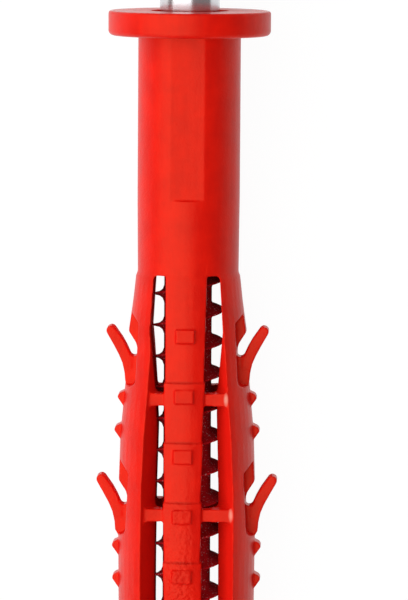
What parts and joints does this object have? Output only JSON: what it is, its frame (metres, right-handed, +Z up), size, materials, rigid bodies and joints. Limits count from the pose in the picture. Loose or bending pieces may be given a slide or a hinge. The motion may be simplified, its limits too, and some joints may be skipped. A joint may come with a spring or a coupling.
{
  "type": "frame plug",
  "caption": "Red nylon frame plug with a round collar, a plain sleeve and a swollen slotted zone with side wings and barbs, holding its coarse threaded steel hexagon head screw.",
  "frame": {"origin": "middle of the bounding box, on the floor under the lying plug", "axes": "+Y along the screw towards its head, +Z up through the front rib, X across the wings"},
  "size_m": [0.0212, 0.1086, 0.0191],
  "materials": {
    "red_nylon": "satin, as moulded",
    "zinc_steel": "bright zinc plated"
  },
  "bodies": {
    "root": {"plug": "red_nylon", "screw": "zinc_steel"}
  },
  "joints": []
}
